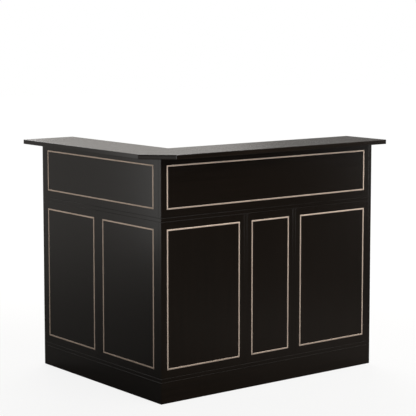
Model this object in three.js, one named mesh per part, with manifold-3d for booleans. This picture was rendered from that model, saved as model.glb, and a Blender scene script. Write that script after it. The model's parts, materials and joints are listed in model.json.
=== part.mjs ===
// Corner bar unit: an L-shaped counter of 16 mm boards under a raised bar top, with trim frames let into
// its outer panels. On the bartender's side it holds an open bay with a shelf in the short arm, and a
// bottle rack, a drawer and a two-door cupboard in the long arm.
// Millimetres, +Z up. The unit is laid out from the outer corner of its body, with the long arm along +X
// and the short arm along +Y. The last group puts the origin under the middle of the bar top's outline.

import * as THREE from 'three';
import { mergeVertices } from 'three/addons/utils/BufferGeometryUtils.js';
import Module from 'manifold-3d';

const wasm = await Module();
wasm.setup();

// Body
const board = 16; // every carcass board
const longFace = 1207; // outer face of the long arm, end to end
const shortFace = 928; // outer face of the short arm, end to end
const longArmDepth = 475;
const shortArmDepth = 463;
const plinthHeight = 92;
const narrowBay = 264; // clear width of the bottle rack's bay
const toeRecess = 45; // kick boards behind the board fronts
const frontGap = 2.5; // round the drawer front and the doors

// Bar top
const topHeight = 1060;
const ledgeRise = 271.5; // bar top above the inner worktop, top to top
const topThickness = 20;
const ledgeDepth = 266;
const longOverhang = 95; // past the long outer face
const shortOverhang = 101; // past the short outer face
const cornerCut = 111; // each leg of the cut outer corner
const gableSetBack = 10; // gable neck behind the ledge's inner edge
const mitreGap = 0.3;
const platePlace = 110; // joining plate, along the mitre from the body's corner
const plateLength = 110;
const plateWidth = 40;
const plateThickness = 2;

// Trim frames
const trimWidth = 6.5;
const trimDepth = 3;
const trimProud = 1;
const grooveClearance = 0.2;
const longEndInset = 31; // panel edge to frame, at both ends of the long face
const cornerInset = 35; // the same on the short face, at the corner
const shortEndInset = 29.5; // the same on the short face, at its gable
const dividerInset = 25; // the same beside a divider
const frameFoot = 34.5; // lower frames above the bottom board
const frameRail = 33.5; // frames above and below the worktop's edge
const frameHead = 31.5; // upper frames under the bar top

// Shelves
const shortShelfRoom = 330; // clear height under the short arm's shelf
const openShelfSetBack = 12;
const cupboardShelfRoom = 241; // clear height under the shelf behind the doors
const closedShelfSetBack = 20; // behind the doors

// Bottle rack
const rackBoard = 12;
const rackSetBack = 20;
const rackRows = 5;
const slotClearance = 0.3;

// Drawer
const drawerOpening = 150;
const drawerBackGap = 43; // drawer box to the outer panel behind it
const drawerSide = 12;
const drawerSideHeight = 100;
const drawerFoot = 15; // drawer sides above the deck
const runnerSpace = 13; // each side of the drawer box
const drawerBottom = 4;
const bottomLift = 8; // drawer bottom above the lower edge of the sides
const grooveDepth = 6;

// Drawer runners
const runnerHeight = 45;
const runnerSheet = 1.2;
const runnerClearance = 0.5;
const runnerWebClearance = 0.8;
const runnerFlangeRoom = 2.5; // fixed flanges to the drawer side
const runnerSetBack = 3; // behind the drawer front

// Butt hinges, laid on the fronts
const pinRadius = 1.5;
const pinClearance = 0.15;
const knuckleRadius = 3;
const knuckleClearance = 0.2; // knuckles to the fronts
const knuckleEndGap = 0.3;
const hingeHeight = 40;
const hingeInset = 60; // hinge to the door's foot and head
const leafThickness = 1.5;
const leafWidth = 11.5;
const leafStart = 3.6; // leaf to the pin's axis

// Pulls
const pullLength = 128;
const pullOut = 28;
const pullThickness = 8;
const pullWidth = 10;
const pullCorner = 6;
const pullInnerCorner = 3;
const pullInset = 28; // middle of a door's pull to the door's free edge
const pullDrop = 60; // door pulls under the door's head

const overrun = 2; // cutting bodies past the surface they cut

const knuckleSides = 24;
const knucklesPerHinge = 3;
const cornerSteps = 5;

// Levels and lines that several pieces share
const worktopHeight = topHeight - ledgeRise;
const baseTop = plinthHeight + board;
const worktopUnder = worktopHeight - board;
const topUnder = topHeight - topThickness;
const longGable = longFace - board;
const shortGable = shortFace - board;
const cornerDivider = shortArmDepth - board;
const shortDivider = longArmDepth - board;
const bayDivider = shortArmDepth + narrowBay;
const wideBayStart = bayDivider + board;
const wideBay = longGable - wideBayStart;
const deckTop = worktopUnder - drawerOpening;
const deckUnder = deckTop - board;
const shortShelfUnder = baseTop + shortShelfRoom;
const cupboardShelfUnder = baseTop + cupboardShelfRoom;
const drawerLength = longArmDepth - board - board - drawerBackGap;
const lowerHeight = [baseTop, worktopUnder];
const upperHeight = [worktopHeight, topUnder];
const pinStandOff = knuckleRadius + knuckleClearance;

const blackBoard = { color: '#211f1e', roughness: 0.42, metalness: 0 };
const blackTop = { color: '#2a2725', roughness: 0.3, metalness: 0 };
const champagneTrim = { color: '#d9c6b6', roughness: 0.5, metalness: 0.9 };
const champagneFitting = { color: '#c3a389', roughness: 0.3, metalness: 0.9 };
const drawerBoard = { color: '#2b2928', roughness: 0.6, metalness: 0 };
const zincSteel = { color: '#a9abad', roughness: 0.4, metalness: 0.9 };

function addPiece(group, name, geometry, finish) {
  const piece = new THREE.Mesh(geometry, new THREE.MeshStandardMaterial(finish));
  piece.name = name;
  group.add(piece);
}

// Moves each point of a geometry to place(x, y, z), so that pieces that share a value meet exactly.
function placePoints(geometry, place) {
  const points = geometry.attributes.position;
  for (let i = 0; i < points.count; i++) {
    points.setXYZ(i, ...place(points.getX(i), points.getY(i), points.getZ(i)));
  }
  geometry.computeVertexNormals();
  return geometry;
}

// A box that spans three [low, high] pairs.
function spanBox(xs, ys, zs) {
  const corner = (span, side) => (side < 0 ? span[0] : span[1]);
  return placePoints(new THREE.BoxGeometry(1, 1, 1), (x, y, z) => [
    corner(xs, x),
    corner(ys, y),
    corner(zs, z),
  ]);
}

// An upright prism over an outline, from zs[0] to zs[1].
function prism(outline, zs) {
  const shape = new THREE.Shape(outline.map(([x, y]) => new THREE.Vector2(x, y)));
  const geometry = new THREE.ExtrudeGeometry(shape, { depth: 1, bevelEnabled: false });
  return placePoints(geometry, (x, y, z) => [x, y, z > 0 ? zs[1] : zs[0]]);
}

function solidOf(geometry) {
  const plain = geometry.clone();
  plain.deleteAttribute('normal');
  plain.deleteAttribute('uv');
  const merged = mergeVertices(plain);
  return new wasm.Manifold(new wasm.Mesh({
    numProp: 3,
    vertProperties: new Float32Array(merged.attributes.position.array),
    triVerts: new Uint32Array(merged.index.array),
  }));
}

function geometryOf(solid) {
  const mesh = solid.getMesh();
  const geometry = new THREE.BufferGeometry();
  geometry.setAttribute('position', new THREE.BufferAttribute(mesh.vertProperties, 3));
  geometry.setIndex(new THREE.BufferAttribute(mesh.triVerts, 1));
  geometry.computeVertexNormals();
  return geometry;
}

const boxSolid = (xs, ys, zs) => solidOf(spanBox(xs, ys, zs));

// The [low, high] pair between two distances from a middle, to its + or - side.
function sideSpan(middle, side, near, far) {
  const ends = [middle + side * near, middle + side * far];
  return side > 0 ? ends : ends.reverse();
}

const grown = (span, by) => [span[0] - by, span[1] + by];

// Carcass: boards that stand or lie square, each given by its spans
function addCarcass(group) {
  const kickLong = longArmDepth - toeRecess;
  const kickShort = shortArmDepth - toeRecess;
  const closedShelfFront = longArmDepth - board - closedShelfSetBack;
  const shortBay = [longArmDepth, shortGable];
  const cupboard = [wideBayStart, longGable];
  const base = [plinthHeight, baseTop];
  const work = [worktopUnder, worktopHeight];
  const foot = [0, plinthHeight];
  const boards = {
    plinth_long: [[0, longGable], [0, board], foot],
    plinth_short: [[0, board], [board, shortGable], foot],
    kick_board_long: [[kickShort - board, longGable], [kickLong - board, kickLong], foot],
    kick_board_short: [[kickShort - board, kickShort], [kickLong, shortGable], foot],
    bottom_board_long: [[0, longGable], [0, longArmDepth], base],
    bottom_board_short: [[0, shortArmDepth], shortBay, base],
    corner_divider_long: [[cornerDivider, shortArmDepth], [0, longArmDepth], lowerHeight],
    corner_divider_short: [[0, cornerDivider], [shortDivider, longArmDepth], lowerHeight],
    bay_divider: [[bayDivider, wideBayStart], [0, longArmDepth], lowerHeight],
    worktop_long: [[0, longGable], [0, longArmDepth], work],
    worktop_short: [[0, shortArmDepth], shortBay, work],
    drawer_deck: [cupboard, [board, longArmDepth], [deckUnder, deckTop]],
    cupboard_shelf: [
      cupboard,
      [board, closedShelfFront],
      [cupboardShelfUnder, cupboardShelfUnder + board],
    ],
    short_arm_shelf: [
      [board, shortArmDepth - openShelfSetBack],
      shortBay,
      [shortShelfUnder, shortShelfUnder + board],
    ],
  };
  for (const [name, spans] of Object.entries(boards)) {
    addPiece(group, name, spanBox(...spans), blackBoard);
  }
}

// Gables: from the floor to the bar top, cut back above the worktop to a neck under the ledge
function addGables(group) {
  const longNeck = ledgeDepth - longOverhang - gableSetBack;
  const shortNeck = ledgeDepth - shortOverhang - gableSetBack;
  const step = [worktopHeight, topUnder + overrun];
  const longEnd = [longGable, longFace];
  const shortEnd = [shortGable, shortFace];
  const longBody = boxSolid(longEnd, [0, longArmDepth], [0, topUnder]);
  const longStep = boxSolid(grown(longEnd, overrun), [longNeck, longArmDepth + overrun], step);
  const shortBody = boxSolid([0, shortArmDepth], shortEnd, [0, topUnder]);
  const shortStep = boxSolid([shortNeck, shortArmDepth + overrun], grown(shortEnd, overrun), step);
  addPiece(group, 'gable_long', geometryOf(longBody.subtract(longStep)), blackBoard);
  addPiece(group, 'gable_short', geometryOf(shortBody.subtract(shortStep)), blackBoard);
}

// Outer panels: a body on the long or the short face, given along the face, inwards from it and upwards
function faceSolid(face, along, inwards, height) {
  return face === 'long' ? boxSolid(along, inwards, height) : boxSolid(inwards, along, height);
}

function faceRing(face, along, inwards, height, width) {
  const outer = faceSolid(face, along, inwards, height);
  const middle = faceSolid(face, grown(along, -width), grown(inwards, overrun), grown(height, -width));
  return outer.subtract(middle);
}

// A panel with a groove, and its trim frame let into the groove.
function addFramedPanel(group, name, face, along, height, start, end, foot, head) {
  const frameAlong = [along[0] + start, along[1] - end];
  const frameHeight = [height[0] + foot, height[1] - head];
  const floor = trimDepth - trimProud;
  const groove = faceRing(
    face,
    grown(frameAlong, grooveClearance),
    [-overrun, floor],
    grown(frameHeight, grooveClearance),
    trimWidth + grooveClearance + grooveClearance,
  );
  const panel = faceSolid(face, along, [0, board], height).subtract(groove);
  const frame = faceRing(face, frameAlong, [-trimProud, floor], frameHeight, trimWidth);
  addPiece(group, `panel_${name}`, geometryOf(panel), blackBoard);
  addPiece(group, `trim_${name}`, geometryOf(frame), champagneTrim);
}

function addPanels(group) {
  const lowerPanels = [
    ['long_left', 'long', [0, cornerDivider], longEndInset, dividerInset],
    ['long_middle', 'long', [shortArmDepth, bayDivider], dividerInset, dividerInset],
    ['long_right', 'long', [wideBayStart, longGable], dividerInset, longEndInset],
    ['short_near', 'short', [board, shortDivider], cornerInset, dividerInset],
    ['short_far', 'short', [longArmDepth, shortGable], dividerInset, shortEndInset],
  ];
  const upperPanels = [
    ['upper_long', 'long', [0, longGable], longEndInset, longEndInset],
    ['upper_short', 'short', [board, shortGable], cornerInset, shortEndInset],
  ];
  for (const [name, face, along, start, end] of lowerPanels) {
    addFramedPanel(group, name, face, along, lowerHeight, start, end, frameFoot, frameRail);
  }
  for (const [name, face, along, start, end] of upperPanels) {
    addFramedPanel(group, name, face, along, upperHeight, start, end, frameRail, frameHead);
  }
}

// Bar top: two boards, mitred from the ledge's inner corner to the middle of the cut outer corner
function addBarTop(group) {
  const innerX = ledgeDepth - shortOverhang;
  const innerY = ledgeDepth - longOverhang;
  const cutX = cornerCut - shortOverhang;
  const cutY = cornerCut - longOverhang;
  const cutMiddleX = cornerCut / 2 - shortOverhang;
  const cutMiddleY = cornerCut / 2 - longOverhang;
  const joint = mitreGap / Math.SQRT2;
  const zs = [topUnder, topHeight];
  const longTop = [
    [innerX + joint, innerY],
    [cutMiddleX + joint / 2, cutMiddleY - joint / 2],
    [cutX, -longOverhang],
    [longFace, -longOverhang],
    [longFace, innerY],
  ];
  const shortTop = [
    [innerX, innerY + joint],
    [innerX, shortFace],
    [-shortOverhang, shortFace],
    [-shortOverhang, cutY],
    [cutMiddleX - joint / 2, cutMiddleY + joint / 2],
  ];
  addPiece(group, 'bar_top_long', prism(longTop, zs), blackTop);
  addPiece(group, 'bar_top_short', prism(shortTop, zs), blackTop);

  // The steel plate that joins the two boards lies across the mitre on their underside.
  const alongX = plateWidth / 2 / Math.SQRT2;
  const acrossX = plateLength / 2 / Math.SQRT2;
  const middleX = innerX - platePlace / 2;
  const middleY = innerY - platePlace / 2;
  const corners = [[1, -1], [1, 1], [-1, 1], [-1, -1]];
  const plate = corners.map(([along, across]) => [
    middleX + along * alongX - across * acrossX,
    middleY + along * alongX + across * acrossX,
  ]);
  addPiece(group, 'mitre_plate', prism(plate, [topUnder - plateThickness, topUnder]), zincSteel);
}

// Bottle rack: an upright slotted from the front and shelves slotted from the back, halved together
function addBottleRack(group) {
  const front = longArmDepth - rackSetBack;
  const middle = shortArmDepth + narrowBay / 2;
  const half = (board + front) / 2;
  const upright = [middle - rackBoard / 2, middle + rackBoard / 2];
  const shelves = rackRows - 1;
  const cell = (worktopUnder - baseTop - shelves * rackBoard) / rackRows;
  let uprightSolid = boxSolid(upright, [board, front], lowerHeight);
  for (let i = 1; i <= shelves; i++) {
    const under = baseTop + i * cell + (i - 1) * rackBoard;
    const shelf = [under, under + rackBoard];
    const slot = boxSolid(grown(upright, overrun), [half, front + overrun], grown(shelf, slotClearance));
    uprightSolid = uprightSolid.subtract(slot);
    const shelfSolid = boxSolid([shortArmDepth, bayDivider], [board, front], shelf);
    const shelfSlot = boxSolid(grown(upright, slotClearance), [board - overrun, half], grown(shelf, overrun));
    addPiece(group, `rack_shelf_${i}`, geometryOf(shelfSolid.subtract(shelfSlot)), blackBoard);
  }
  addPiece(group, 'rack_upright', geometryOf(uprightSolid), blackBoard);
}

// Drawer: laid out from the deck's top at the bay's left front, with y = 0 at the board fronts
const runnerFoot = drawerFoot + (drawerSideHeight - runnerHeight) / 2;
const runnerLengthSpan = [-board - drawerLength, -board - runnerSetBack];

// A runner profile: a web at webAt and flanges towards side, spanning height.
function runnerSolid(webAt, side, reach, height) {
  const outer = boxSolid(sideSpan(webAt, side, 0, reach), runnerLengthSpan, height);
  const hollow = boxSolid(
    sideSpan(webAt, side, runnerSheet, reach + overrun),
    grown(runnerLengthSpan, overrun),
    grown(height, -runnerSheet),
  );
  return outer.subtract(hollow);
}

function addFixedRunners(group) {
  const height = [runnerFoot, runnerFoot + runnerHeight];
  const reach = runnerSpace - runnerFlangeRoom;
  addPiece(group, 'runner_fixed_left', geometryOf(runnerSolid(0, 1, reach, height)), zincSteel);
  addPiece(group, 'runner_fixed_right', geometryOf(runnerSolid(wideBay, -1, reach, height)), zincSteel);
}

function addDrawer(group) {
  const left = runnerSpace;
  const right = wideBay - runnerSpace;
  const back = -board - drawerLength;
  const depth = [back, -board];
  const sideHeight = [drawerFoot, drawerFoot + drawerSideHeight];
  const bottomFoot = drawerFoot + bottomLift;
  const bottomTop = bottomFoot + drawerBottom;
  const front = spanBox(
    [frontGap, wideBay - frontGap],
    [-board, 0],
    [frontGap, drawerOpening - frontGap],
  );
  addPiece(group, 'drawer_front', front, blackBoard);

  const grooveLeft = left + drawerSide - grooveDepth;
  const grooveRight = right - drawerSide + grooveDepth;
  const grooveHeight = [bottomFoot, bottomTop + slotClearance];
  const groove = boxSolid([grooveLeft, grooveRight], grown(depth, overrun), grooveHeight);
  const sides = { left: [left, left + drawerSide], right: [right - drawerSide, right] };
  for (const [name, span] of Object.entries(sides)) {
    const side = boxSolid(span, depth, sideHeight).subtract(groove);
    addPiece(group, `drawer_side_${name}`, geometryOf(side), drawerBoard);
  }
  const bottomSpan = [grooveLeft + slotClearance, grooveRight - slotClearance];
  addPiece(group, 'drawer_bottom', spanBox(bottomSpan, depth, [bottomFoot, bottomTop]), drawerBoard);
  const backBoard = spanBox(
    [left + drawerSide, right - drawerSide],
    [back, back + drawerSide],
    [bottomTop, sideHeight[1]],
  );
  addPiece(group, 'drawer_back', backBoard, drawerBoard);

  const height = grown([runnerFoot, runnerFoot + runnerHeight], -runnerSheet - runnerClearance);
  const reach = runnerSpace - runnerSheet - runnerWebClearance;
  addPiece(group, 'runner_drawer_left', geometryOf(runnerSolid(left, -1, reach, height)), zincSteel);
  addPiece(group, 'runner_drawer_right', geometryOf(runnerSolid(right, 1, reach, height)), zincSteel);

  const pullStart = (wideBay - pullLength) / 2;
  const pullFoot = (drawerOpening - pullWidth) / 2;
  const pull = placePoints(pullGeometry(), (x, y, z) => [pullStart + x, y, pullFoot + z]);
  addPiece(group, 'drawer_pull', pull, champagneFitting);
}

// A bow pull, lying along +X with its feet at y = 0, standing out along +Y, pullWidth thick along +Z.
function pullGeometry() {
  const shape = new THREE.Shape();
  const innerTop = pullOut - pullThickness;
  const innerEnd = pullLength - pullThickness;
  shape.moveTo(0, 0);
  shape.lineTo(pullThickness, 0);
  shape.lineTo(pullThickness, innerTop - pullInnerCorner);
  shape.absarc(
    pullThickness + pullInnerCorner, innerTop - pullInnerCorner, pullInnerCorner, Math.PI, Math.PI / 2, true,
  );
  shape.absarc(innerEnd - pullInnerCorner, innerTop - pullInnerCorner, pullInnerCorner, Math.PI / 2, 0, true);
  shape.lineTo(innerEnd, 0);
  shape.lineTo(pullLength, 0);
  shape.lineTo(pullLength, pullOut - pullCorner);
  shape.absarc(pullLength - pullCorner, pullOut - pullCorner, pullCorner, 0, Math.PI / 2, false);
  shape.absarc(pullCorner, pullOut - pullCorner, pullCorner, Math.PI / 2, Math.PI, false);
  const settings = { depth: pullWidth, bevelEnabled: false, curveSegments: cornerSteps };
  return new THREE.ExtrudeGeometry(shape, settings);
}

function uprightCylinder(x, y, radius, zs) {
  const rod = new THREE.CylinderGeometry(radius, radius, 1, knuckleSides);
  return solidOf(placePoints(rod, (cx, cy, cz) => [x + cz, y + cx, cy < 0 ? zs[0] : zs[1]]));
}

// A hinge leaf lies on a front at frontY and reaches from the pin's axis towards side. Its knuckles are the
// even ones, with the pin, on the fixed leaf and the odd one, with the bore, on the door's leaf.
function hingeLeaf(axisX, frontY, side, foot, isFixed) {
  const axisY = frontY + pinStandOff;
  const leaf = [frontY, frontY + leafThickness];
  const height = [foot, foot + hingeHeight];
  const pitch = hingeHeight / knucklesPerHinge;
  let solid = boxSolid(sideSpan(axisX, side, leafStart, leafStart + leafWidth), leaf, height);
  for (let i = 0; i < knucklesPerHinge; i++) {
    const belongsToFixed = i % 2 === 0;
    if (belongsToFixed !== isFixed) continue;
    const low = foot + i * pitch + (i > 0 ? knuckleEndGap / 2 : 0);
    const high = foot + (i + 1) * pitch - (i < knucklesPerHinge - 1 ? knuckleEndGap / 2 : 0);
    solid = solid.add(uprightCylinder(axisX, axisY, knuckleRadius, [low, high]));
    solid = solid.add(boxSolid(sideSpan(axisX, side, 0, leafStart + leafThickness), leaf, [low, high]));
  }
  if (isFixed) return geometryOf(solid.add(uprightCylinder(axisX, axisY, pinRadius, height)));
  const bore = uprightCylinder(axisX, axisY, pinRadius + pinClearance, grown(height, overrun));
  return geometryOf(solid.subtract(bore));
}

// Doors: each is laid out from its pin's axis, and side is +1 where the door reaches towards +X
const doorWidth = (wideBay - frontGap - frontGap - frontGap) / 2;
const doorHeight = [baseTop + frontGap, deckUnder - frontGap];
const hingeFeet = { lower: doorHeight[0] + hingeInset, upper: doorHeight[1] - hingeInset - hingeHeight };

function addDoor(group, name, side) {
  const edge = frontGap / 2;
  const face = -pinStandOff;
  const door = spanBox(sideSpan(0, side, edge, edge + doorWidth), [face - board, face], doorHeight);
  addPiece(group, `door_${name}`, door, blackBoard);
  for (const [place, foot] of Object.entries(hingeFeet)) {
    addPiece(group, `hinge_door_${name}_${place}`, hingeLeaf(0, face, side, foot, false), champagneFitting);
  }
  const pullMiddle = side * (edge + doorWidth - pullInset);
  const pullFoot = doorHeight[1] - pullDrop - pullLength;
  const pull = placePoints(pullGeometry(), (x, y, z) => [
    pullMiddle + pullWidth / 2 - z,
    face + y,
    pullFoot + x,
  ]);
  addPiece(group, `door_pull_${name}`, pull, champagneFitting);
}

function addDoors(unit) {
  const axes = { left: wideBayStart + frontGap / 2, right: longGable - frontGap / 2 };
  for (const [name, axisX] of Object.entries(axes)) {
    const side = name === 'left' ? 1 : -1;
    for (const [place, foot] of Object.entries(hingeFeet)) {
      const leaf = hingeLeaf(axisX, longArmDepth, -side, foot, true);
      addPiece(unit, `hinge_fixed_${name}_${place}`, leaf, champagneFitting);
    }
    const door = new THREE.Group();
    door.position.set(axisX, longArmDepth + pinStandOff, 0);
    addDoor(door, name, side);
    unit.add(door);
  }
}

const unit = new THREE.Group();
addCarcass(unit);
addGables(unit);
addPanels(unit);
addBarTop(unit);
addBottleRack(unit);
addDoors(unit);

const drawerBay = new THREE.Group();
drawerBay.position.set(wideBayStart, longArmDepth, deckTop);
addFixedRunners(drawerBay);
addDrawer(drawerBay);
unit.add(drawerBay);

unit.position.set((shortOverhang - longFace) / 2, (longOverhang - shortFace) / 2, 0);

const cornerBar = new THREE.Group();
cornerBar.add(unit);

export default cornerBar;
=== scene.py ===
"""Corner bar unit: builds the finished pieces of an L-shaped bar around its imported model.

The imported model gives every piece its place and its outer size. This script adds what a joiner's hand and
the fittings give it: eased board edges, mitred strips, a rounded bar top, rolled hinges, swept pulls, screws
and the finish of every surface. Lengths are in metres.
"""

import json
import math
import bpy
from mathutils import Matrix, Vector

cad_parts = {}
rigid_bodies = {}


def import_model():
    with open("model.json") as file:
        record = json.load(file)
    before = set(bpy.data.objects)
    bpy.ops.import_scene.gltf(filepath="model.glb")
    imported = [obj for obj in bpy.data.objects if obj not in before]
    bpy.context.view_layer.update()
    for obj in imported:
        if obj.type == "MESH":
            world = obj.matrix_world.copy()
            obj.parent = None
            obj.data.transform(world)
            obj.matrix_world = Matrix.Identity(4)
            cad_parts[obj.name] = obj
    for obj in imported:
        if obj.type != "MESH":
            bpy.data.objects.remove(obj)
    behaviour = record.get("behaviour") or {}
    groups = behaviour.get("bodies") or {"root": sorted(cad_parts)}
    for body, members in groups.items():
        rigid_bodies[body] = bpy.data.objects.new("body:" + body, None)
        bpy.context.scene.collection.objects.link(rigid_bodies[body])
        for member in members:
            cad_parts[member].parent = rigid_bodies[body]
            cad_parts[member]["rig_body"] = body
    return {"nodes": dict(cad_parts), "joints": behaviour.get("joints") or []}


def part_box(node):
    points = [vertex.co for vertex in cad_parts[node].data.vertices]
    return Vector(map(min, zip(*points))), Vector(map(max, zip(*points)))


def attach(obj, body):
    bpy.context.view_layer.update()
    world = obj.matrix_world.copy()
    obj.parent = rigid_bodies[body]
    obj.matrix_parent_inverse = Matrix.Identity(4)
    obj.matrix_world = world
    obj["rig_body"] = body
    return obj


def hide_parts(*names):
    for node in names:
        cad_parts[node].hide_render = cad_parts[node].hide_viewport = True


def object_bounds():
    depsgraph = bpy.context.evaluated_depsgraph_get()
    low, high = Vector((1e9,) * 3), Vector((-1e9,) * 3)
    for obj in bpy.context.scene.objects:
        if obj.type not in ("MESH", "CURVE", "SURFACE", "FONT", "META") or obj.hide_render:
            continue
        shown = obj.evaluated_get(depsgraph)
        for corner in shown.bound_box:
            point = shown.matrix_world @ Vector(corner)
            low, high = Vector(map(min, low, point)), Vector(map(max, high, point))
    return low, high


bl_info = {
    "name": "Corner Bar Unit",
    "version": (1, 0, 0),
    "blender": (4, 5, 0),
    "location": "View3D > Sidebar > Corner Bar",
    "description": "Builds the finished pieces of a corner bar unit around its packed model",
    "category": "Add Mesh",
}

import bmesh
import bpy
from bpy.props import FloatProperty, FloatVectorProperty, PointerProperty
from mathutils import Matrix, Vector

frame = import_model()
cad_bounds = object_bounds()

MERGE_DISTANCE = 1e-6
PLANAR_ANGLE = math.radians(0.5)
SHARP_ANGLE = math.radians(30)
AXES = {"X": 0, "Y": 1, "Z": 2}
MILLIMETRE = 0.001

# A face is square to an axis past the first share of its normal, and mitred within the second difference.
ALONG_AXIS = 0.9
MITRE_TOLERANCE = 0.01

# How finely rounded edges, bends and circles are divided.
EDGE_SEGMENTS = 3
TOP_EDGE_SEGMENTS = 5
BEND_SEGMENTS = 4
ROUND_SEGMENTS = 48
ROLL_STEPS = 22
PULL_CORNER_STEPS = 10
SCREW_SEGMENTS = 24

# A screw head, in shares of its radius and height: its rim, the steps of its dome, and its cross recess.
RIM_SHARE = 0.4
DOME_SHARES = ((0.16, 0.35), (0.26, 0.2), (0.12, 0.05))
CROSS_LIP_SHARE = 0.02
CROSS_REACH_SHARE = 0.52
CROSS_DEPTH_SHARE = 0.8
CROSS_TAPER_SHARE = 0.7

# Where screws stand, in shares of what they hold, from its middle or from a leaf's lower end.
PLATE_LENGTH_SHARES = (-0.85, -0.35, 0.35, 0.85)
PLATE_WIDTH_SHARES = (-0.5, 0.5)
RUNNER_SHARES = (-0.42, -0.1, 0.22, 0.44)
LEAF_SHARES = (0.2, 0.8)

# A hinge's knuckles. The fixed leaf owns the outer two, and each is the leaf's sheet, rolled round the pin.
KNUCKLES = 3
FIXED_KNUCKLES = (0, 2)
DOOR_KNUCKLES = (1,)
ROLL_ANGLE = math.radians(292)
PIN_ROUNDING_SHARE = 1 / 3

# The sizes of the patterns in the finishes, as they are drawn.
PORE_WIDTH = 2.5 * MILLIMETRE
PORE_LENGTH = 90 * MILLIMETRE
BAND_WIDTH = 18 * MILLIMETRE
BAND_LENGTH = 500 * MILLIMETRE
PEEL_WIDTH = 4 * MILLIMETRE
PEEL_DEPTH = 0.02 * MILLIMETRE
GRIT_WIDTH = 0.6 * MILLIMETRE
GRIT_DEPTH = 0.03 * MILLIMETRE
HANDLED_WIDTH = 60 * MILLIMETRE
EMBOSS_WIDTH = 1.2 * MILLIMETRE
EMBOSS_DEPTH = 0.05 * MILLIMETRE
FOIL_CLOUD_WIDTH = 80 * MILLIMETRE
CRYSTAL_WIDTH = 3 * MILLIMETRE
ZINC_CLOUD_WIDTH = 25 * MILLIMETRE

# Most values of a noise lie in the first range, and most products of two noises in the second.
NOISE_RANGE = (0.3, 0.7)
NOISE_PRODUCT_RANGE = (0.15, 0.4)

# How the finishes shine, and how far their colours vary.
LACQUER_IOR = 1.42
LACQUER_ROUGHNESS = 0.2
BOARD_STREAKS = 0.008
TOP_STREAKS = 0.015
STRIP_METALLIC = 0.8
STRIP_ROUGHNESS = 0.52
FITTING_METALLIC = 1
FITTING_ROUGHNESS = 0.32
HANDLED_STREAKS = 0.04
HANDLED_SHADE = 0.86
FOIL_ROUGHNESS = 0.62
FOIL_SHADES = (0.85, 1.2)
ZINC_ROUGHNESS_RANGE = (0.3, 0.45)
ZINC_SHADES = (0.8, 1.1)
FLOOR_ROUGHNESS = 0.9

CARCASS = (
    "plinth_long", "plinth_short", "kick_board_long", "kick_board_short", "bottom_board_long",
    "bottom_board_short", "corner_divider_long", "corner_divider_short", "bay_divider", "worktop_long",
    "worktop_short", "drawer_deck", "cupboard_shelf", "short_arm_shelf", "gable_long", "gable_short",
)
GABLES = ("gable_long", "gable_short")
FRAMES = ("long_left", "long_middle", "long_right", "short_near", "short_far", "upper_long", "upper_short")
RACK = ("rack_shelf_1", "rack_shelf_2", "rack_shelf_3", "rack_shelf_4", "rack_upright")
DRAWER_BOX = ("drawer_side_left", "drawer_side_right", "drawer_bottom", "drawer_back")
SIDES = ("left", "right")
HEIGHTS = ("lower", "upper")
OPEN_TO_THE_RIGHT = ("runner_fixed_left", "runner_drawer_right")

# The directions of what metal and gloss reflect, and the place on the floor of the painted pool of light in
# front of the long face.
BACKDROP_WAY = (-0.3, 0.95, 0)
OVERHEAD_WAY = (0.55, -0.3, 0.78)
SIDE_WAY = (0.79, 0.61, 0)
FRONT_FLOOR = (1.2, -0.9, 0)

# Where each brightness of the room begins and where it is full, as the cosine of the angle to its direction.
WINGS_SPAN = (0.25, 0.4)
MIDDLE_SPAN = (0.515, 0.56)
OVERHEAD_SPAN = (0.8, 0.94)

# Where each brightness of the floor begins and where it ends or is full, in metres: the painted light and
# shade that metal and gloss see, and the white that the camera sees.
FAR_FLOOR_SPAN = (0, 6.5)
SIDE_FLOOR_SPAN = (1.2, 3.6)
NEAR_FLOOR_SPAN = (0.8, 3)
FRONT_FLOOR_SPAN = (0.3, 1.8)
WHITE_FLOOR_SPAN = (1, 5)
FLOOR_REACH = 20

# Each softbox's place and size, in metres. Its power is a property of the stage. The high, end, back and
# working ones are wide, so that the glossy bar top doesn't mirror them as plain white.
SOFTBOXES = {
    "front": ((-0.5, -4.6, 0.7), (1.6, 1.4)),
    "high": ((1.3, -5, 3.9), (5.4, 4)),
    "right": ((4.2, -2.4, 0.8), (1.6, 1.6)),
    "side": ((5.4, -1.7, 0.9), (1.2, 1.6)),
    "corner": ((-3.8, -2.8, 0.8), (1.6, 1.2)),
    "left": ((-2.8, 1.7, 0.9), (1.4, 1.5)),
    "end": ((4.6, 0.9, 2), (2.4, 2.6)),
    "back": ((2.2, 3.2, 4.4), (3, 3)),
    "working": ((0.3, 4.8, 2.5), (3.4, 2.6)),
}


def linear(hex_colour):
    """The linear colour of an sRGB hex value, by the standard's own curve."""
    channels = [int(hex_colour[i:i + 2], 16) / 255 for i in (1, 3, 5)]
    return tuple(c / 12.92 if c <= 0.04045 else ((c + 0.055) / 1.055) ** 2.4 for c in channels)


def length(name, millimetres, description):
    """A length property, given in millimetres."""
    return FloatProperty(
        name=name, description=description, default=millimetres * MILLIMETRE, precision=5, min=0,
        unit="LENGTH",
    )


def colour(name, hex_colour, description):
    """A colour property, given as sRGB hex."""
    return FloatVectorProperty(
        name=name, description=description, default=linear(hex_colour), min=0, max=1, subtype="COLOR"
    )


def power(name, watts, description):
    """A lamp's power property."""
    return FloatProperty(name=name, description=description, default=watts, min=0, unit="POWER")


def brightness(name, level, description):
    """A property for how bright something is in what metal and gloss reflect, where 1 is white."""
    return FloatProperty(
        name=name, description=f"{description}, in what metal and gloss reflect", default=level, min=0
    )


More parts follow.
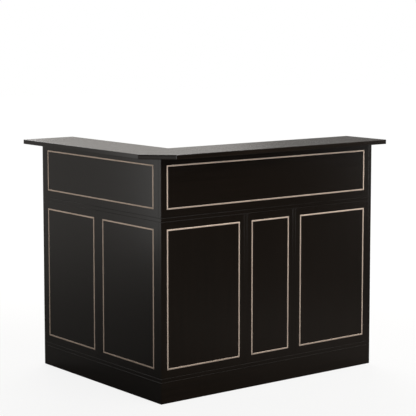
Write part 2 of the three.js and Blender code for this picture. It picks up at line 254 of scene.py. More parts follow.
class CornerBarSizes(bpy.types.PropertyGroup):
    """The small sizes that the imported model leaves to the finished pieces."""

    board_easing: length("Board easing", 1, "Radius on the edges of the carcass boards and outer panels")
    front_easing: length("Front easing", 1, "Radius on the edges of the doors and the drawer front")
    thin_easing: length("Thin board easing", 0.6, "Radius on the edges of rack boards and drawer boards")
    top_rounding: length("Top rounding", 2.2, "Radius on the edges of the bar top")
    strip_width: length("Strip width", 6.5, "Width of the metal strips let into the panels")
    strip_easing: length("Strip easing", 0.9, "Radius on the two long front edges of a strip")
    strip_mitre: length("Strip mitre gap", 0.1, "Open joint between two strips at a corner")
    plate_corner: length("Plate corner", 4, "Corner radius of the joining plate under the mitre")
    pull_inner_corner: length("Pull inner corner", 1.5, "Inner radius of a pull's bends")
    pull_rounding: length("Pull rounding", 2.2, "Radius on the edges of a pull's section")
    sheet: length("Runner sheet", 1.2, "Thickness of the runners' steel")
    sheet_bend: length("Runner bend", 1.8, "Outer bend radius of the runners' steel")
    leaf_thickness: length("Hinge leaf thickness", 1.5, "Thickness of the leaves and knuckles")
    leaf_start: length("Hinge leaf start", 3.6, "Distance from the pin's axis to the flat of a leaf")
    leaf_corner: length("Hinge leaf corner", 2, "Corner radius of a hinge leaf")
    knuckle_gap: length("Knuckle gap", 0.3, "Open joint between two knuckles of a hinge")
    pin_radius: length("Hinge pin radius", 1.45, "Radius of the hinge pins")
    leaf_screw: length("Leaf screw head", 2.6, "Head radius of the screws in the hinge leaves")
    fitting_screw: length("Fitting screw head", 3.4, "Head radius of all other screws")
    screw_head: length("Screw head height", 0.5, "Height of a screw's head above what it holds")


class CornerBarColours(bpy.types.PropertyGroup):
    """The colours of the finishes."""

    board: colour("Board", "#110a04", "Black lacquer on the boards")
    board_grain: colour("Board grain", "#170f08", "Lighter grain lines under the board's lacquer")
    top: colour("Bar top", "#160f09", "Black lacquer on the bar top")
    top_grain: colour("Bar top grain", "#20170f", "Lighter grain lines under the top's lacquer")
    champagne: colour("Champagne strip", "#d9c6b6", "Anodised strips")
    fitting: colour("Champagne fitting", "#c3a389", "Plated pulls and hinges")
    drawer_board: colour("Drawer board", "#2b2928", "Foil on the drawer box")
    zinc: colour("Zinc", "#a9abad", "Zinc-plated steel")
    floor: colour("Floor", "#646361", "Studio floor, under its own white")
    backdrop: colour("Backdrop", "#fffaf4", "Backdrop and far floor in what metal and gloss reflect")


class CornerBarStage(bpy.types.PropertyGroup):
    """The camera, the room and the lamps."""

    camera_place: FloatVectorProperty(
        name="Camera place", description="Where the camera stands", subtype="TRANSLATION", unit="LENGTH",
        default=(-4.08481, -5.27969, 1.6314),
    )
    camera_heading: FloatProperty(
        name="Camera heading", description="Compass direction of the view, from +X towards +Y",
        default=math.radians(52.1451), subtype="ANGLE",
    )
    camera_tilt: FloatProperty(
        name="Camera tilt", description="How far the camera looks down", default=math.radians(5.9433),
        subtype="ANGLE",
    )
    camera_lens: FloatProperty(name="Lens", description="Focal length in millimetres", default=126.698, min=1)
    camera_shift: FloatProperty(name="Lens shift", description="Vertical shift of the lens", default=-0.1)
    room_level: brightness("Room level", 0.1, "Brightness of the unlit room on the camera's side")
    backdrop_level: brightness("Backdrop level", 0.545, "Brightness of the backdrop behind the unit")
    wing_level: brightness("Wing level", 0.12, "What the backdrop's dimmer wings add to the unlit room")
    overhead_gleam: brightness("Overhead gleam", 2.4, "What a bright place overhead on the right adds")
    # The floor's painted light and shade, which only metal and gloss see: it glows far off and on both sides,
    # only faintly beside the unit, and in a painted pool of light in front of the long face.
    floor_gleam: brightness("Floor gleam", 0.42, "Brightness of the far floor")
    side_gleam: brightness("Side gleam", 0.5, "Brightness of the floor on both sides")
    near_gleam: brightness("Near gleam", 0.045, "Brightness of the floor beside the unit")
    front_painted_pool: brightness("Front gleam", 0.09, "What the floor in front of the long face adds")
    floor_glow: FloatProperty(
        name="Floor glow", description="Share of the white beside the unit that needs no lamp", default=0.87,
        min=0, max=1,
    )
    front_power: power("Front power", 37, "Softbox in front of the long face, at half its height")
    high_power: power("High power", 165, "Softbox high in front of the long face")
    right_power: power("Right power", 20, "Panel on the right, which the long face reflects")
    side_power: power("Side power", 25, "Softbox far on the right, along the long face")
    corner_power: power("Corner power", 3, "Low panel that faces the cut corner")
    left_power: power("Left power", 6.5, "Low panel on the left, which the short face reflects")
    end_power: power("End power", 45, "Softbox that faces the end of the long arm")
    back_power: power("Back power", 160, "High softbox behind the unit")
    working_power: power("Working side power", 60, "Softbox that faces the drawer and the doors")


def sizes():
    """The properties that hold the sizes."""
    return bpy.context.scene.corner_bar_sizes


def colours():
    """The properties that hold the colours."""
    return bpy.context.scene.corner_bar_colours


# Materials


def add_node(tree, kind, inputs=None, **settings):
    """Adds a node with its settings. An input takes a value or another node's output."""
    node = tree.nodes.new(kind)
    for name, value in settings.items():
        setattr(node, name, value)
    for name, value in (inputs or {}).items():
        if isinstance(value, bpy.types.NodeSocket):
            tree.links.new(value, node.inputs[name])
        else:
            node.inputs[name].default_value = value
    return node


def new_finish(name):
    """A new material's node tree, its shader and its Object coordinates."""
    material = bpy.data.materials.new(name)
    material.use_nodes = True
    tree = material.node_tree
    shader = tree.nodes["Principled BSDF"]
    place = add_node(tree, "ShaderNodeTexCoord").outputs["Object"]
    return material, tree, shader, place


def rgba(value, share=1):
    """A colour's own share of itself, with its alpha."""
    return (*(share * channel for channel in value), 1)


def ramp(span, start=0, end=1):
    """A Map Range node's inputs for a ramp from start to end over a span."""
    return {"From Min": span[0], "From Max": span[1], "To Min": start, "To Max": end}


def grain_scale(axis, across, along):
    """A Mapping scale for a grain of these real sizes that runs along an axis."""
    scale = [1 / across] * 3
    scale[AXES[axis]] = 1 / along
    return scale


def lacquered_board(name, axis, base, grain, roughness, streaks):
    """Black lacquer sprayed over grained board, rubbed to a satin: a near-black face with the faint skin of
    orange peel, barely lighter grain lines that run along one axis, and streaks where the lacquer has sunk
    into the grain and shines a little less."""
    material, tree, shader, place = new_finish(name)
    # Pores of about 1 mm by 30 mm, drawn as coarse as 2.5 mm by 90 mm so that they show at a few metres.
    pores = add_node(tree, "ShaderNodeMapping", {
        "Vector": place, "Scale": grain_scale(axis, PORE_WIDTH, PORE_LENGTH),
    })
    fine = add_node(tree, "ShaderNodeTexNoise", {
        "Vector": pores.outputs["Vector"], "Scale": 1, "Detail": 3, "Roughness": 0.6,
    })
    # Growth bands about 18 mm wide, which wander over 500 mm.
    bands = add_node(tree, "ShaderNodeMapping", {
        "Vector": place, "Scale": grain_scale(axis, BAND_WIDTH, BAND_LENGTH),
    })
    broad = add_node(tree, "ShaderNodeTexNoise", {
        "Vector": bands.outputs["Vector"], "Scale": 1, "Detail": 4, "Roughness": 0.55, "Distortion": 0.4,
    })
    both = add_node(tree, "ShaderNodeMath", {
        0: fine.outputs["Fac"], 1: broad.outputs["Fac"],
    }, operation="MULTIPLY")
    share = add_node(tree, "ShaderNodeMapRange", {
        "Value": both.outputs["Value"], **ramp(NOISE_PRODUCT_RANGE),
    })
    tint = add_node(tree, "ShaderNodeMix", {
        "Factor": share.outputs["Result"], 6: rgba(base), 7: rgba(grain),
    }, data_type="RGBA")
    tree.links.new(tint.outputs[2], shader.inputs["Base Color"])
    shine = add_node(tree, "ShaderNodeMapRange", {
        "Value": broad.outputs["Fac"], **ramp(NOISE_RANGE, roughness - streaks, roughness + streaks),
    })
    tree.links.new(shine.outputs["Result"], shader.inputs["Roughness"])
    # Orange peel of about 2 mm, drawn at 4 mm.
    peel = add_node(tree, "ShaderNodeTexNoise", {"Vector": place, "Scale": 1 / PEEL_WIDTH, "Detail": 1})
    relief = add_node(tree, "ShaderNodeBump", {
        "Height": peel.outputs["Fac"], "Strength": 0.3, "Distance": PEEL_DEPTH,
    })
    tree.links.new(relief.outputs["Normal"], shader.inputs["Normal"])
    shader.inputs["IOR"].default_value = LACQUER_IOR
    return material


def satin_metal(name, base, metallic, roughness):
    """Aluminium or brass, blasted and then anodised or plated in a warm champagne: a soft even gleam, with a
    fine grit in the surface and slightly duller patches where it was handled."""
    material, tree, shader, place = new_finish(name)
    # Blasting grit of about 0.15 mm, drawn at 0.6 mm so that it shows in a close view.
    fine = add_node(tree, "ShaderNodeTexNoise", {"Vector": place, "Scale": 1 / GRIT_WIDTH, "Detail": 2})
    patches = add_node(tree, "ShaderNodeTexNoise", {"Vector": place, "Scale": 1 / HANDLED_WIDTH, "Detail": 2})
    tint = add_node(tree, "ShaderNodeMix", {
        "Factor": patches.outputs["Fac"], 6: rgba(base), 7: rgba(base, HANDLED_SHADE),
    }, data_type="RGBA")
    tree.links.new(tint.outputs[2], shader.inputs["Base Color"])
    shine = add_node(tree, "ShaderNodeMapRange", {
        "Value": patches.outputs["Fac"],
        **ramp(NOISE_RANGE, roughness - HANDLED_STREAKS, roughness + HANDLED_STREAKS),
    })
    tree.links.new(shine.outputs["Result"], shader.inputs["Roughness"])
    relief = add_node(tree, "ShaderNodeBump", {
        "Height": fine.outputs["Fac"], "Strength": 0.1, "Distance": GRIT_DEPTH,
    })
    tree.links.new(relief.outputs["Normal"], shader.inputs["Normal"])
    shader.inputs["Metallic"].default_value = metallic
    return material


def foil_wrapped_board(name, base):
    """Chipboard wrapped in a matt dark foil: an even, dry surface with a fine cloth-like emboss."""
    material, tree, shader, place = new_finish(name)
    # Emboss of about 0.5 mm, drawn at 1.2 mm.
    emboss = add_node(tree, "ShaderNodeTexNoise", {"Vector": place, "Scale": 1 / EMBOSS_WIDTH, "Detail": 2})
    clouds = add_node(tree, "ShaderNodeTexNoise", {
        "Vector": place, "Scale": 1 / FOIL_CLOUD_WIDTH, "Detail": 3,
    })
    tint = add_node(tree, "ShaderNodeMix", {
        "Factor": clouds.outputs["Fac"], 6: rgba(base, FOIL_SHADES[0]), 7: rgba(base, FOIL_SHADES[1]),
    }, data_type="RGBA")
    tree.links.new(tint.outputs[2], shader.inputs["Base Color"])
    relief = add_node(tree, "ShaderNodeBump", {
        "Height": emboss.outputs["Fac"], "Strength": 0.3, "Distance": EMBOSS_DEPTH,
    })
    tree.links.new(relief.outputs["Normal"], shader.inputs["Normal"])
    shader.inputs["Roughness"].default_value = FOIL_ROUGHNESS
    return material


def zinc_plated_steel(name, base):
    """Cold-rolled steel, bright zinc plated: a cool grey gleam in a mosaic of slightly different crystals."""
    material, tree, shader, place = new_finish(name)
    # Zinc crystals of about 3 mm.
    crystals = add_node(tree, "ShaderNodeTexVoronoi", {"Vector": place, "Scale": 1 / CRYSTAL_WIDTH})
    clouds = add_node(tree, "ShaderNodeTexNoise", {
        "Vector": place, "Scale": 1 / ZINC_CLOUD_WIDTH, "Detail": 3,
    })
    tint = add_node(tree, "ShaderNodeMix", {
        "Factor": clouds.outputs["Fac"], 6: rgba(base, ZINC_SHADES[0]), 7: rgba(base, ZINC_SHADES[1]),
    }, data_type="RGBA")
    tree.links.new(tint.outputs[2], shader.inputs["Base Color"])
    shine = add_node(tree, "ShaderNodeMapRange", {
        "Value": crystals.outputs["Distance"], **ramp((0, 1), *ZINC_ROUGHNESS_RANGE),
    })
    tree.links.new(shine.outputs["Result"], shader.inputs["Roughness"])
    shader.inputs["Metallic"].default_value = 1
    return material


def finish(kind, axis="Z"):
    """The material of a kind, made when it is first asked for."""
    name = f"{kind}_{axis.lower()}" if kind in ("satin_black_board", "satin_black_top") else kind
    if name in bpy.data.materials:
        return bpy.data.materials[name]
    tones = colours()
    if kind == "satin_black_board":
        return lacquered_board(name, axis, tones.board, tones.board_grain, LACQUER_ROUGHNESS, BOARD_STREAKS)
    if kind == "satin_black_top":
        return lacquered_board(name, axis, tones.top, tones.top_grain, LACQUER_ROUGHNESS, TOP_STREAKS)
    if kind == "champagne_anodised_aluminium":
        return satin_metal(name, tones.champagne, STRIP_METALLIC, STRIP_ROUGHNESS)
    if kind == "champagne_plated_brass":
        return satin_metal(name, tones.fitting, FITTING_METALLIC, FITTING_ROUGHNESS)
    if kind == "foil_wrapped_drawer_board":
        return foil_wrapped_board(name, tones.drawer_board)
    return zinc_plated_steel(name, tones.zinc)


# Geometry


def merged_copy(node):
    """A mesh to shape from a CAD node, with its loose triangles merged into whole flat faces."""
    bm = bmesh.new()
    bm.from_mesh(frame["nodes"][node].data)
    bmesh.ops.remove_doubles(bm, verts=bm.verts, dist=MERGE_DISTANCE)
    bmesh.ops.dissolve_limit(bm, angle_limit=PLANAR_ANGLE, verts=bm.verts, edges=bm.edges)
    return bm


def on_box_edge(edge, low, high):
    """True for an edge that lies along an edge of the box."""
    shared = 0
    for axis in range(3):
        a, b = (v.co[axis] for v in edge.verts)
        for limit in (low[axis], high[axis]):
            if abs(a - limit) < MERGE_DISTANCE and abs(b - limit) < MERGE_DISTANCE:
                shared += 1
    return shared == 2


def edge_span(edge, axis):
    """How far an edge reaches along an axis."""
    start, end = (vert.co[AXES[axis]] for vert in edge.verts)
    return abs(end - start)


def round_edges(bm, edges, radius, segments):
    """Rounds edges to a radius."""
    bmesh.ops.bevel(
        bm, geom=edges, offset=radius, offset_type="OFFSET", segments=segments, profile=0.5, affect="EDGES",
        clamp_overlap=True, material=-1,
    )


def add_piece(bm, name, body, kind, axis="Z", replaced=(), smooth=False):
    """Ends a mesh as a named piece that rides on a body, with its finish."""
    mesh = bpy.data.meshes.new(name)
    bm.to_mesh(mesh)
    bm.free()
    if smooth:
        mesh.shade_smooth()
        mesh.set_sharp_from_angle(angle=SHARP_ANGLE)
    piece = bpy.data.objects.new(name, mesh)
    bpy.context.scene.collection.objects.link(piece)
    mesh.materials.append(finish(kind, axis))
    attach(piece, body)
    if replaced:
        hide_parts(*replaced)
    return piece


def body_of(node):
    """The body that a CAD node rides on."""
    return frame["nodes"][node]["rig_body"]


def longest_axis(node):
    """The axis along which a CAD node is longest, which its grain follows."""
    low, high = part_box(node)
    spans = high - low
    return max(AXES, key=lambda axis: spans[AXES[axis]])


def eased_board(node, radius, kind="satin_black_board", axis=None, stepped=False):
    """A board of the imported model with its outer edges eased, as sanding and lacquer leave them. A stepped
    board is eased along its step too."""
    bm = merged_copy(node)
    low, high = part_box(node)
    edges = [edge for edge in bm.edges if (edge.is_convex if stepped else on_box_edge(edge, low, high))]
    round_edges(bm, edges, radius, EDGE_SEGMENTS)
    add_piece(bm, f"{node}_board", body_of(node), kind, axis or longest_axis(node), [node])


# Operators


class CORNERBAR_OT_boards(bpy.types.Operator):
    """Carcass boards, gables and bottle rack, with eased edges"""

    bl_idname = "corner_bar.boards"
    bl_label = "Boards"

    def execute(self, context):
        for node in CARCASS:
            eased_board(node, sizes().board_easing, stepped=node in GABLES)
        for node in RACK:
            eased_board(node, sizes().thin_easing)
        return {"FINISHED"}


class CORNERBAR_OT_panels(bpy.types.Operator):
    """Outer panels, grooved for their strips"""

    bl_idname = "corner_bar.panels"
    bl_label = "Outer panels"

    def execute(self, context):
        for name in FRAMES:
            eased_board(f"panel_{name}", sizes().board_easing)
        return {"FINISHED"}


def join(bm, part):
    """Adds the mesh of part to bm, and frees it."""
    mesh = bpy.data.meshes.new("part")
    part.to_mesh(mesh)
    part.free()
    bm.from_mesh(mesh)
    bpy.data.meshes.remove(mesh)


def axes_matrix(origin, across, up, out):
    """The matrix that takes X, Y and Z to three directions at an origin."""
    return Matrix.Translation(origin) @ Matrix((across, up, out)).transposed().to_4x4()


def push(bm, face, way):
    """Extrudes one face by a vector, and returns the face at the far end."""
    grown = bmesh.ops.extrude_face_region(bm, geom=[face])["geom"]
    bmesh.ops.translate(bm, vec=way, verts=[v for v in grown if isinstance(v, bmesh.types.BMVert)])
    return next(f for f in grown if isinstance(f, bmesh.types.BMFace))


def bend(bm, face, centre, angle, steps):
    """Sweeps one face round an upright axis, and returns the face at the far end."""
    swept = bmesh.ops.spin(
        bm, geom=[face], cent=centre, axis=(0, 0, 1), angle=angle, steps=steps, use_merge=False,
        use_duplicate=False,
    )["geom_last"]
    return next(f for f in swept if isinstance(f, bmesh.types.BMFace))


def screw_head(bm, place, out, radius, height):
    """Adds a domed screw head with a cross recess, standing on place and facing out."""
    part = bmesh.new()
    bmesh.ops.create_circle(part, cap_ends=True, segments=SCREW_SEGMENTS, radius=radius)
    top = push(part, part.faces[:][0], Vector((0, 0, RIM_SHARE * height)))
    for width, rise in DOME_SHARES:
        bmesh.ops.inset_region(part, faces=[top], thickness=width * radius, depth=rise * height)
    # The recess is a cross: each point of the ring moves along its own angle to the outline of a cross, whose
    # arms reach one step of the ring to either side.
    bmesh.ops.inset_region(part, faces=[top], thickness=CROSS_LIP_SHARE * radius)
    arm = CROSS_REACH_SHARE * radius
    half_width = arm * math.tan(2 * math.pi / SCREW_SEGMENTS)
    for vert in top.verts:
        angle = math.atan2(vert.co.y, vert.co.x)
        near, far = sorted((abs(math.cos(angle)), abs(math.sin(angle))))
        reach = min(arm / far, half_width / near if near > MERGE_DISTANCE else arm)
        vert.co.x, vert.co.y = reach * math.cos(angle), reach * math.sin(angle)
    bottom = push(part, top, Vector((0, 0, -CROSS_DEPTH_SHARE * height)))
    bmesh.ops.scale(part, vec=(CROSS_TAPER_SHARE, CROSS_TAPER_SHARE, 1), verts=bottom.verts)
    bmesh.ops.recalc_face_normals(part, faces=part.faces)
    side = out.orthogonal().normalized()
    part.transform(axes_matrix(place, side, out.cross(side), out))
    join(bm, part)


def add_screws(name, body, kind, places, out, radius):
    """Adds a group of like screws as one piece."""
    bm = bmesh.new()
    for place in places:
        screw_head(bm, place, out, radius, sizes().screw_head)
    add_piece(bm, name, body, kind, smooth=True)


def strip(bm, start, end, face_normal, inward, depth):
    """Adds one mitred strip to bm. It runs from start to end along the frame's outer edge, inward is the
    direction across it towards the frame's middle, and its two ends are cut at 45 degrees."""
    width = sizes().strip_width
    gap = sizes().strip_mitre / 2
    along = (end - start).normalized()
    run = (end - start).length
    part = bmesh.new()
    bmesh.ops.create_cube(part, size=1)
    bmesh.ops.scale(part, vec=(run, width, depth), verts=part.verts)
    bmesh.ops.translate(part, vec=(run / 2, width / 2, -depth / 2), verts=part.verts)
    front = [e for e in part.edges if all(v.co.z > -depth / 2 for v in e.verts)]
    long_front = [e for e in front if edge_span(e, "Y") < width / 2]
    round_edges(part, long_front, sizes().strip_easing, EDGE_SEGMENTS)
    for corner, direction in ((0, Vector((-1, 1, 0))), (run, Vector((1, 1, 0)))):
        place = Vector((corner, 0, 0)) - direction.normalized() * gap
        cut = bmesh.ops.bisect_plane(
            part, geom=part.verts[:] + part.edges[:] + part.faces[:], plane_co=place, plane_no=direction,
            clear_outer=True,
        )
        rim = [e for e in cut["geom_cut"] if isinstance(e, bmesh.types.BMEdge)]
        bmesh.ops.holes_fill(part, edges=rim)
    part.transform(axes_matrix(start, along, inward, face_normal))
    bmesh.ops.recalc_face_normals(part, faces=part.faces)
    join(bm, part)


class CORNERBAR_OT_strips(bpy.types.Operator):
    """Champagne strips, four mitred lengths in each frame"""

    bl_idname = "corner_bar.strips"
    bl_label = "Strips"

    def execute(self, context):
        for name in FRAMES:
            node = f"trim_{name}"
            low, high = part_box(node)
            # A frame on the long face is thin along Y and faces -Y. One on the short face does so along X.
            thin, wide = (AXES["Y"], AXES["X"]) if high.y - low.y < high.x - low.x else (AXES["X"], AXES["Y"])
            depth = (high - low)[thin]
            normal, right, up = Vector(), Vector(), Vector((0, 0, 1))
            normal[thin] = -1
            right[wide] = 1
            corners = [low.copy(), low.copy(), high.copy(), high.copy()]
            corners[1][wide] = high[wide]
            corners[3][wide] = low[wide]
            for corner in corners:
                corner[thin] = low[thin]
            inwards = [up, -right, -up, right]
            bm = bmesh.new()
            for i, inward in enumerate(inwards):
                strip(bm, corners[i], corners[(i + 1) % len(corners)], normal, inward, depth)
            kind = "champagne_anodised_aluminium"
            add_piece(bm, f"{node}_strips", body_of(node), kind, replaced=[node], smooth=True)
        return {"FINISHED"}


class CORNERBAR_OT_bar_top(bpy.types.Operator):
    """Mitred bar top with rounded edges"""

    bl_idname = "corner_bar.bar_top"
    bl_label = "Bar top"

    def execute(self, context):
        for node, axis in (("bar_top_long", "X"), ("bar_top_short", "Y")):
            bm = merged_copy(node)
            low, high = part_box(node)
            edges = [edge for edge in bm.edges if not self.on_mitre(edge)]
            round_edges(bm, edges, sizes().top_rounding, TOP_EDGE_SEGMENTS)
            add_piece(bm, f"{node}_board", body_of(node), "satin_black_top", axis, [node])
        return {"FINISHED"}

    @staticmethod
    def on_mitre(edge):
        """True for an edge of the mitred face, whose normal points from one arm to the other."""
        for face in edge.link_faces:
            normal = face.normal
            if abs(abs(normal.x) - abs(normal.y)) < MITRE_TOLERANCE and normal.x * normal.y < 0:
                return True
        return False


class CORNERBAR_OT_mitre_plate(bpy.types.Operator):
    """Steel plate under the mitre, with its screws"""

    bl_idname = "corner_bar.mitre_plate"
    bl_label = "Joining plate"

    def execute(self, context):
        node = "mitre_plate"
        bm = merged_copy(node)
        uprights = [e for e in bm.edges if edge_span(e, "Z") > MERGE_DISTANCE]
        corners = [Vector(e.verts[0].co.xy) for e in uprights]
        round_edges(bm, uprights, sizes().plate_corner, BEND_SEGMENTS)
        add_piece(bm, "mitre_joining_plate", body_of(node), "zinc_plated_steel", replaced=[node])
        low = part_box(node)[0]
        middle = sum(corners, Vector((0, 0))) / len(corners)
        half_length = Vector((-1, 1)).normalized() * self.reach(corners, middle, Vector((-1, 1)))
        half_width = Vector((1, 1)).normalized() * self.reach(corners, middle, Vector((1, 1)))
        places = [
            (*(middle + along * half_length + across * half_width), low.z)
            for along in PLATE_LENGTH_SHARES for across in PLATE_WIDTH_SHARES
        ]
        add_screws(
            "mitre_plate_screws", body_of(node), "zinc_plated_steel", places, Vector((0, 0, -1)),
            sizes().fitting_screw,
        )
        return {"FINISHED"}

    @staticmethod
    def reach(corners, middle, way):
        """Half of the plate's span along a direction."""
        return max((corner - middle).dot(way.normalized()) for corner in corners)


class CORNERBAR_OT_runners(bpy.types.Operator):
    """Drawer runners of bent steel, with their screws"""

    bl_idname = "corner_bar.runners"
    bl_label = "Runners"

    def execute(self, context):
        for side in SIDES:
            for part in ("fixed", "drawer"):
                node = f"runner_{part}_{side}"
                self.add_runner(node, node in OPEN_TO_THE_RIGHT)
        return {"FINISHED"}

    @staticmethod
    def add_runner(node, faces_right):
        """A runner whose open side faces towards +X or -X, with screws through its web."""
        bm = merged_copy(node)
        low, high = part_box(node)
        web = low.x if faces_right else high.x
        long_edges = [e for e in bm.edges if edge_span(e, "Y") > (high - low).y / 2]
        outer = [e for e in long_edges if e.is_convex and abs(e.verts[0].co.x - web) < MERGE_DISTANCE]
        inner = [e for e in long_edges if not e.is_convex]
        round_edges(bm, outer, sizes().sheet_bend, BEND_SEGMENTS)
        round_edges(bm, inner, sizes().sheet_bend - sizes().sheet, BEND_SEGMENTS)
        add_piece(bm, f"{node}_profile", body_of(node), "zinc_plated_steel", "Y", [node], smooth=True)
        out = Vector((1 if faces_right else -1, 0, 0))
        surface = web + out.x * sizes().sheet
        middle = (low + high) / 2
        places = [(surface, middle.y + share * (high - low).y, middle.z) for share in RUNNER_SHARES]
        add_screws(
            f"{node}_screws", body_of(node), "zinc_plated_steel", places, out, sizes().fitting_screw
        )


class CORNERBAR_OT_pulls(bpy.types.Operator):
    """Bow pulls of bent bar, with the screws behind them"""

    bl_idname = "corner_bar.pulls"
    bl_label = "Pulls"

    def execute(self, context):
        self.add_pull("drawer_pull", "drawer_front", "X")
        for side in SIDES:
            self.add_pull(f"door_pull_{side}", f"door_{side}", "Z")
        return {"FINISHED"}

    def add_pull(self, node, front, along):
        """A pull on a front that faces +Y, in the box of its node. It runs along X or Z."""
        low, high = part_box(node)
        span = high - low
        long_way = Vector((1, 0, 0)) if along == "X" else Vector((0, 0, 1))
        out = Vector((0, 1, 0))
        width_way = long_way.cross(out)
        if along == "X":
            run, width = span.x, span.z
            origin = low
        else:
            run, width = span.z, span.x
            origin = Vector((high.x, low.y, low.z))
        thickness = self.bar_thickness(node, along)
        bm = self.bow(run, span.y, thickness, width)
        bm.transform(axes_matrix(origin, long_way, out, width_way))
        add_piece(bm, f"{node}_bow", body_of(node), "champagne_plated_brass", replaced=[node], smooth=True)
        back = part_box(front)[0].y
        foot = origin + width_way * width / 2
        places = []
        for distance in (thickness / 2, run - thickness / 2):
            place = foot + long_way * distance
            place.y = back
            places.append(place)
        add_screws(f"{node}_screws", body_of(node), "zinc_plated_steel", places, -out, sizes().fitting_screw)

    @staticmethod
    def bar_thickness(node, along):
        """The thickness of a pull's bar: the width of one foot, read where the pull meets its front."""
        low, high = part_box(node)
        axis = AXES[along]
        feet = [v.co[axis] for v in frame["nodes"][node].data.vertices if v.co.y - low.y < MERGE_DISTANCE]
        return max(place for place in feet if place < (low[axis] + high[axis]) / 2) - low[axis]

    @staticmethod
    def bow(run, out, thickness, width):
        """A bar with a rounded section, bent twice: feet at y = 0, running along X, and width along Z."""
        bm = bmesh.new()
        bmesh.ops.create_grid(bm, x_segments=1, y_segments=1, size=0.5)
        bmesh.ops.scale(bm, vec=(thickness, width, 1), verts=bm.verts)
        bmesh.ops.bevel(
            bm, geom=bm.verts[:], offset=sizes().pull_rounding, offset_type="OFFSET", segments=BEND_SEGMENTS,
            profile=0.5, affect="VERTICES", clamp_overlap=True, material=-1,
        )
        bm.transform(axes_matrix((thickness / 2, 0, width / 2), (1, 0, 0), (0, 0, 1), (0, -1, 0)))
        radius = thickness + sizes().pull_inner_corner
        leg = out - radius
        face = push(bm, bm.faces[:][0], Vector((0, leg, 0)))
        face = bend(bm, face, (radius, leg, 0), -math.pi / 2, PULL_CORNER_STEPS)
        face = push(bm, face, Vector((run - 2 * radius, 0, 0)))
        face = bend(bm, face, (run - radius, leg, 0), -math.pi / 2, PULL_CORNER_STEPS)
        push(bm, face, Vector((0, -leg, 0)))
        bmesh.ops.recalc_face_normals(bm, faces=bm.faces)
        return bm


class CORNERBAR_OT_hinges(bpy.types.Operator):
    """Butt hinges with rolled knuckles, pins and screws"""

    bl_idname = "corner_bar.hinges"
    bl_label = "Hinges"

    def execute(self, context):
        for side in SIDES:
            joint = next(j for j in frame["joints"] if j["name"] == f"{side}_door_hinge")
            for height in HEIGHTS:
                self.add_hinge(side, height, Vector(joint["pos_m"]))
        return {"FINISHED"}

    def add_hinge(self, side, height, axis):
        """One hinge round the upright axis of a door's joint: two leaves and a pin."""
        fixed, moving = (f"hinge_{part}_{side}_{height}" for part in ("fixed", "door"))
        low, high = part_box(fixed)
        foot = Vector((axis.x, axis.y, low.z))
        tall = high.z - low.z
        towards_door = 1 if side == "left" else -1
        far = max(abs(low.x - axis.x), abs(high.x - axis.x))
        self.add_leaf(fixed, foot, tall, far, -towards_door, FIXED_KNUCKLES)
        self.add_leaf(moving, foot, tall, far, towards_door, DOOR_KNUCKLES)
        self.add_pin(f"hinge_pin_{side}_{height}", body_of(fixed), foot, tall)

    @staticmethod
    def add_leaf(node, foot, tall, far, side, knuckles):
        """A leaf that reaches from the pin's axis to far, towards side. It lies on what it holds, and its
        sheet rolls round the pin at the knuckles that it owns."""
        sheet = sizes().leaf_thickness
        start = sizes().leaf_start
        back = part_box(node)[0].y - foot.y
        pitch = tall / KNUCKLES
        gap = sizes().knuckle_gap / 2
        bm = bmesh.new()
        bmesh.ops.create_cube(bm, size=1)
        bmesh.ops.translate(bm, vec=(0.5, 0.5, 0.5), verts=bm.verts)
        bmesh.ops.scale(bm, vec=(far - start, sheet, tall), verts=bm.verts)
        bmesh.ops.translate(bm, vec=(start, back, 0), verts=bm.verts)
        corners = [
            e for e in bm.edges
            if all(v.co.x > far - MERGE_DISTANCE for v in e.verts) and edge_span(e, "Z") < gap
        ]
        round_edges(bm, corners, sizes().leaf_corner, BEND_SEGMENTS)
        last = KNUCKLES - 1
        spans = [
            (i * pitch + (gap if i > 0 else 0), (i + 1) * pitch - (gap if i < last else 0)) for i in knuckles
        ]
        for cut in [level for span in spans for level in span if 0 < level < tall]:
            bmesh.ops.bisect_plane(
                bm, geom=bm.verts[:] + bm.edges[:] + bm.faces[:], plane_co=(0, 0, cut), plane_no=(0, 0, 1)
            )
        radius = sizes().pin_radius + sheet
        for low, high in spans:
            middle = (low + high) / 2
            face = next(
                f for f in bm.faces
                if abs(f.normal.x) > ALONG_AXIS and all(v.co.x < start + MERGE_DISTANCE for v in f.verts)
                and abs(f.calc_center_median().z - middle) < gap
            )
            face = push(bm, face, Vector((-start, -radius - back, 0)))
            bend(bm, face, (0, 0, 0), -ROLL_ANGLE, ROLL_STEPS)
        bmesh.ops.scale(bm, vec=(side, 1, 1), verts=bm.verts)
        bmesh.ops.recalc_face_normals(bm, faces=bm.faces)
        bmesh.ops.translate(bm, vec=foot, verts=bm.verts)
        add_piece(bm, f"{node}_leaf", body_of(node), "champagne_plated_brass", replaced=[node], smooth=True)
        surface = foot.y + back + sheet
        across = foot.x + side * (start + far + sheet) / 2
        places = [(across, surface, foot.z + share * tall) for share in LEAF_SHARES]
        add_screws(
            f"{node}_screws", body_of(node), "champagne_plated_brass", places, Vector((0, 1, 0)),
            sizes().leaf_screw,
        )

    @staticmethod
    def add_pin(name, body, foot, tall):
        """A pin with rounded ends that stands on foot."""
        bm = bmesh.new()
        radius = sizes().pin_radius
        bmesh.ops.create_cone(
            bm, cap_ends=True, segments=ROUND_SEGMENTS, radius1=radius, radius2=radius, depth=tall
        )
        rims = [e for e in bm.edges if edge_span(e, "Z") < MERGE_DISTANCE]
        round_edges(bm, rims, radius * PIN_ROUNDING_SHARE, EDGE_SEGMENTS)
        bmesh.ops.translate(bm, vec=foot + Vector((0, 0, tall / 2)), verts=bm.verts)
        add_piece(bm, name, body, "champagne_plated_brass", smooth=True)


